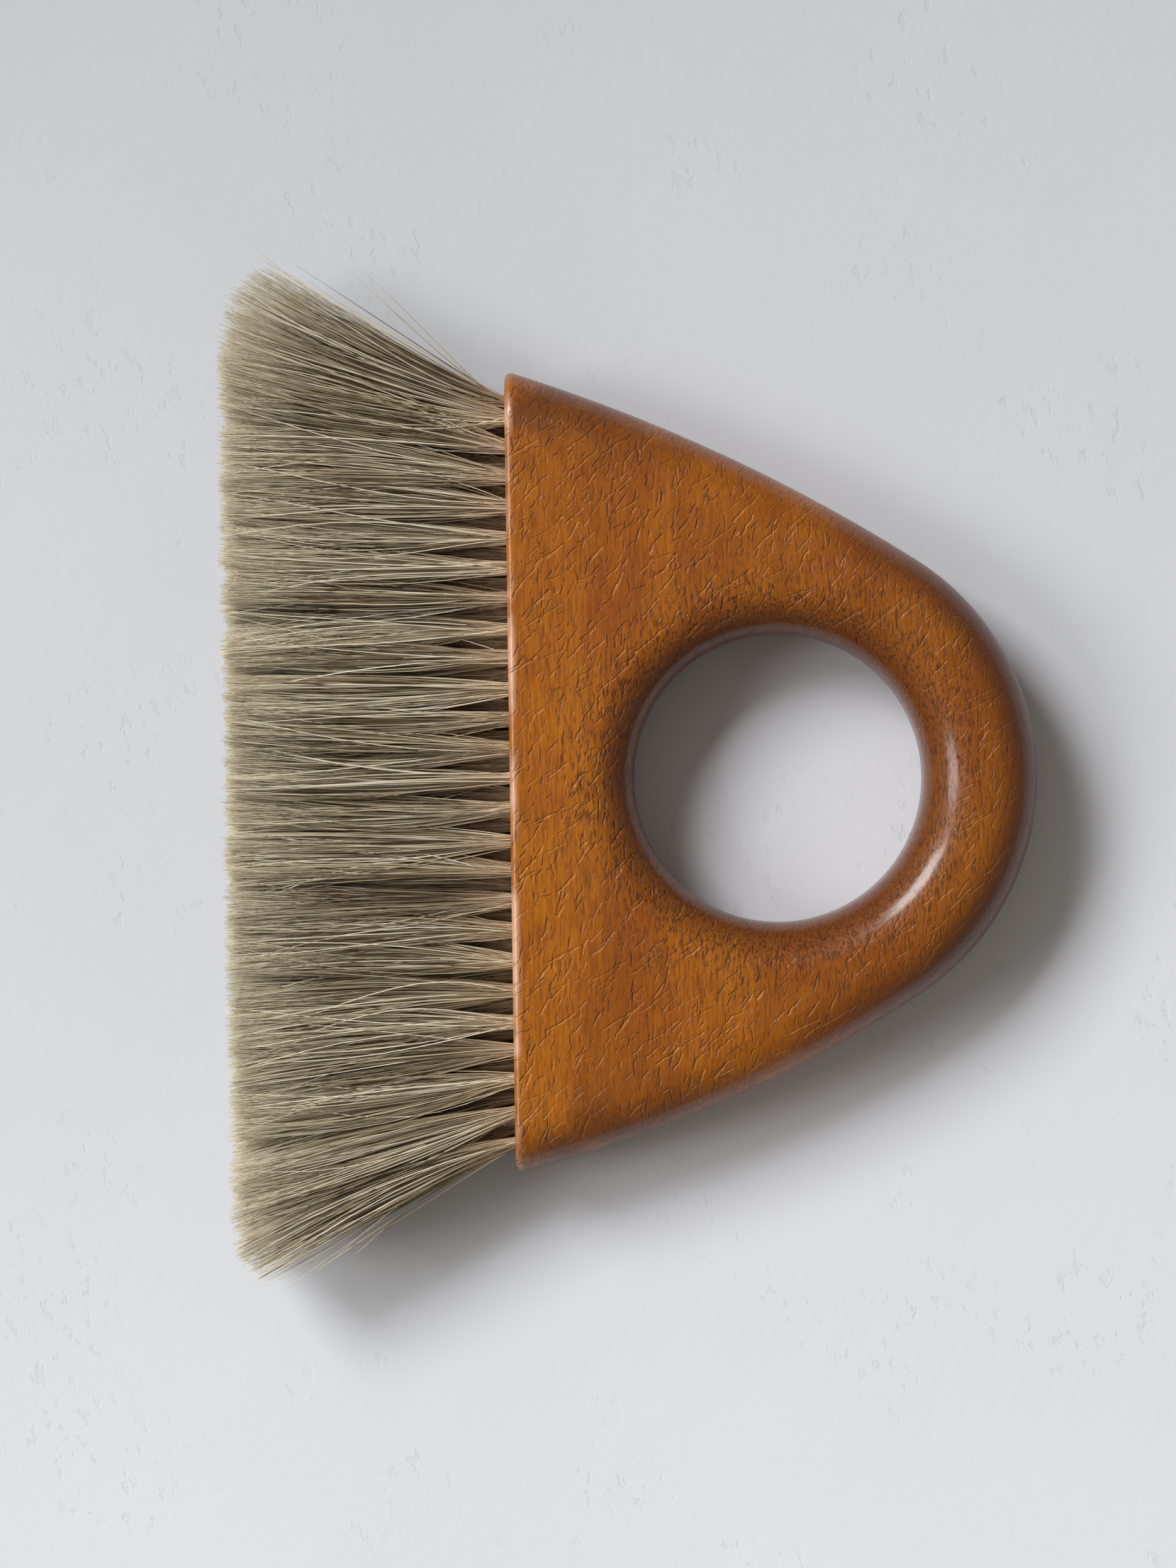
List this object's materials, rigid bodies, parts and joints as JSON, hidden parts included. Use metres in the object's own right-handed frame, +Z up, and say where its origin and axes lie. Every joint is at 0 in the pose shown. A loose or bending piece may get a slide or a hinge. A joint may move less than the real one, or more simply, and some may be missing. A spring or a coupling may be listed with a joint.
{
  "type": "clothes brush",
  "caption": "Flat wooden clothes brush with a rounded triangular body, a large round hand hole and staggered tufts of natural horsehair fanning from its long straight face.",
  "frame": {"origin": "centre of the whole brush's box in plan, on the flat underside it lies on", "axes": "+X from the bristle tips to the round end of the handle, +Y along the bristle face, +Z up through the thickness"},
  "size_m": [0.155, 0.1888, 0.024],
  "materials": {
    "wood": "oiled and waxed hardwood, warm orange brown, satin to semi-gloss with worn edges",
    "horsehair": "natural undyed horsehair, mixed cream, beige and grey brown, low sheen",
    "staple_wire": "bright drawn steel wire"
  },
  "bodies": {
    "root": {"handle_body": "wood", "lower_tufts_01": "horsehair", "lower_tufts_02": "horsehair", "lower_tufts_03": "horsehair", "lower_tufts_04": "horsehair", "lower_tufts_05": "horsehair", "lower_tufts_06": "horsehair", "lower_tufts_07": "horsehair", "lower_tufts_08": "horsehair", "lower_tufts_09": "horsehair", "lower_tufts_10": "horsehair", "lower_tufts_11": "horsehair", "lower_tufts_12": "horsehair", "lower_tufts_13": "horsehair", "lower_tufts_14": "horsehair", "lower_tufts_15": "horsehair", "lower_tufts_16": "horsehair", "lower_tufts_17": "horsehair", "lower_tufts_18": "horsehair", "lower_tufts_19": "horsehair", "lower_tufts_20": "horsehair", "lower_tufts_21": "horsehair", "lower_tufts_22": "horsehair", "lower_tufts_23": "horsehair", "lower_tufts_24": "horsehair", "lower_tufts_25": "horsehair", "upper_tufts_01": "horsehair", "upper_tufts_02": "horsehair", "upper_tufts_03": "horsehair", "upper_tufts_04": "horsehair", "upper_tufts_05": "horsehair", "upper_tufts_06": "horsehair", "upper_tufts_07": "horsehair", "upper_tufts_08": "horsehair", "upper_tufts_09": "horsehair", "upper_tufts_10": "horsehair", "upper_tufts_11": "horsehair", "upper_tufts_12": "horsehair", "upper_tufts_13": "horsehair", "upper_tufts_14": "horsehair", "upper_tufts_15": "horsehair", "upper_tufts_16": "horsehair", "upper_tufts_17": "horsehair", "upper_tufts_18": "horsehair", "upper_tufts_19": "horsehair", "upper_tufts_20": "horsehair", "upper_tufts_21": "horsehair", "upper_tufts_22": "horsehair", "upper_tufts_23": "horsehair", "upper_tufts_24": "horsehair", "upper_tufts_25": "horsehair", "staples_row_1": "staple_wire", "staples_row_2": "staple_wire", "staples_row_3": "staple_wire", "staples_row_4": "staple_wire"}
  },
  "joints": []
}
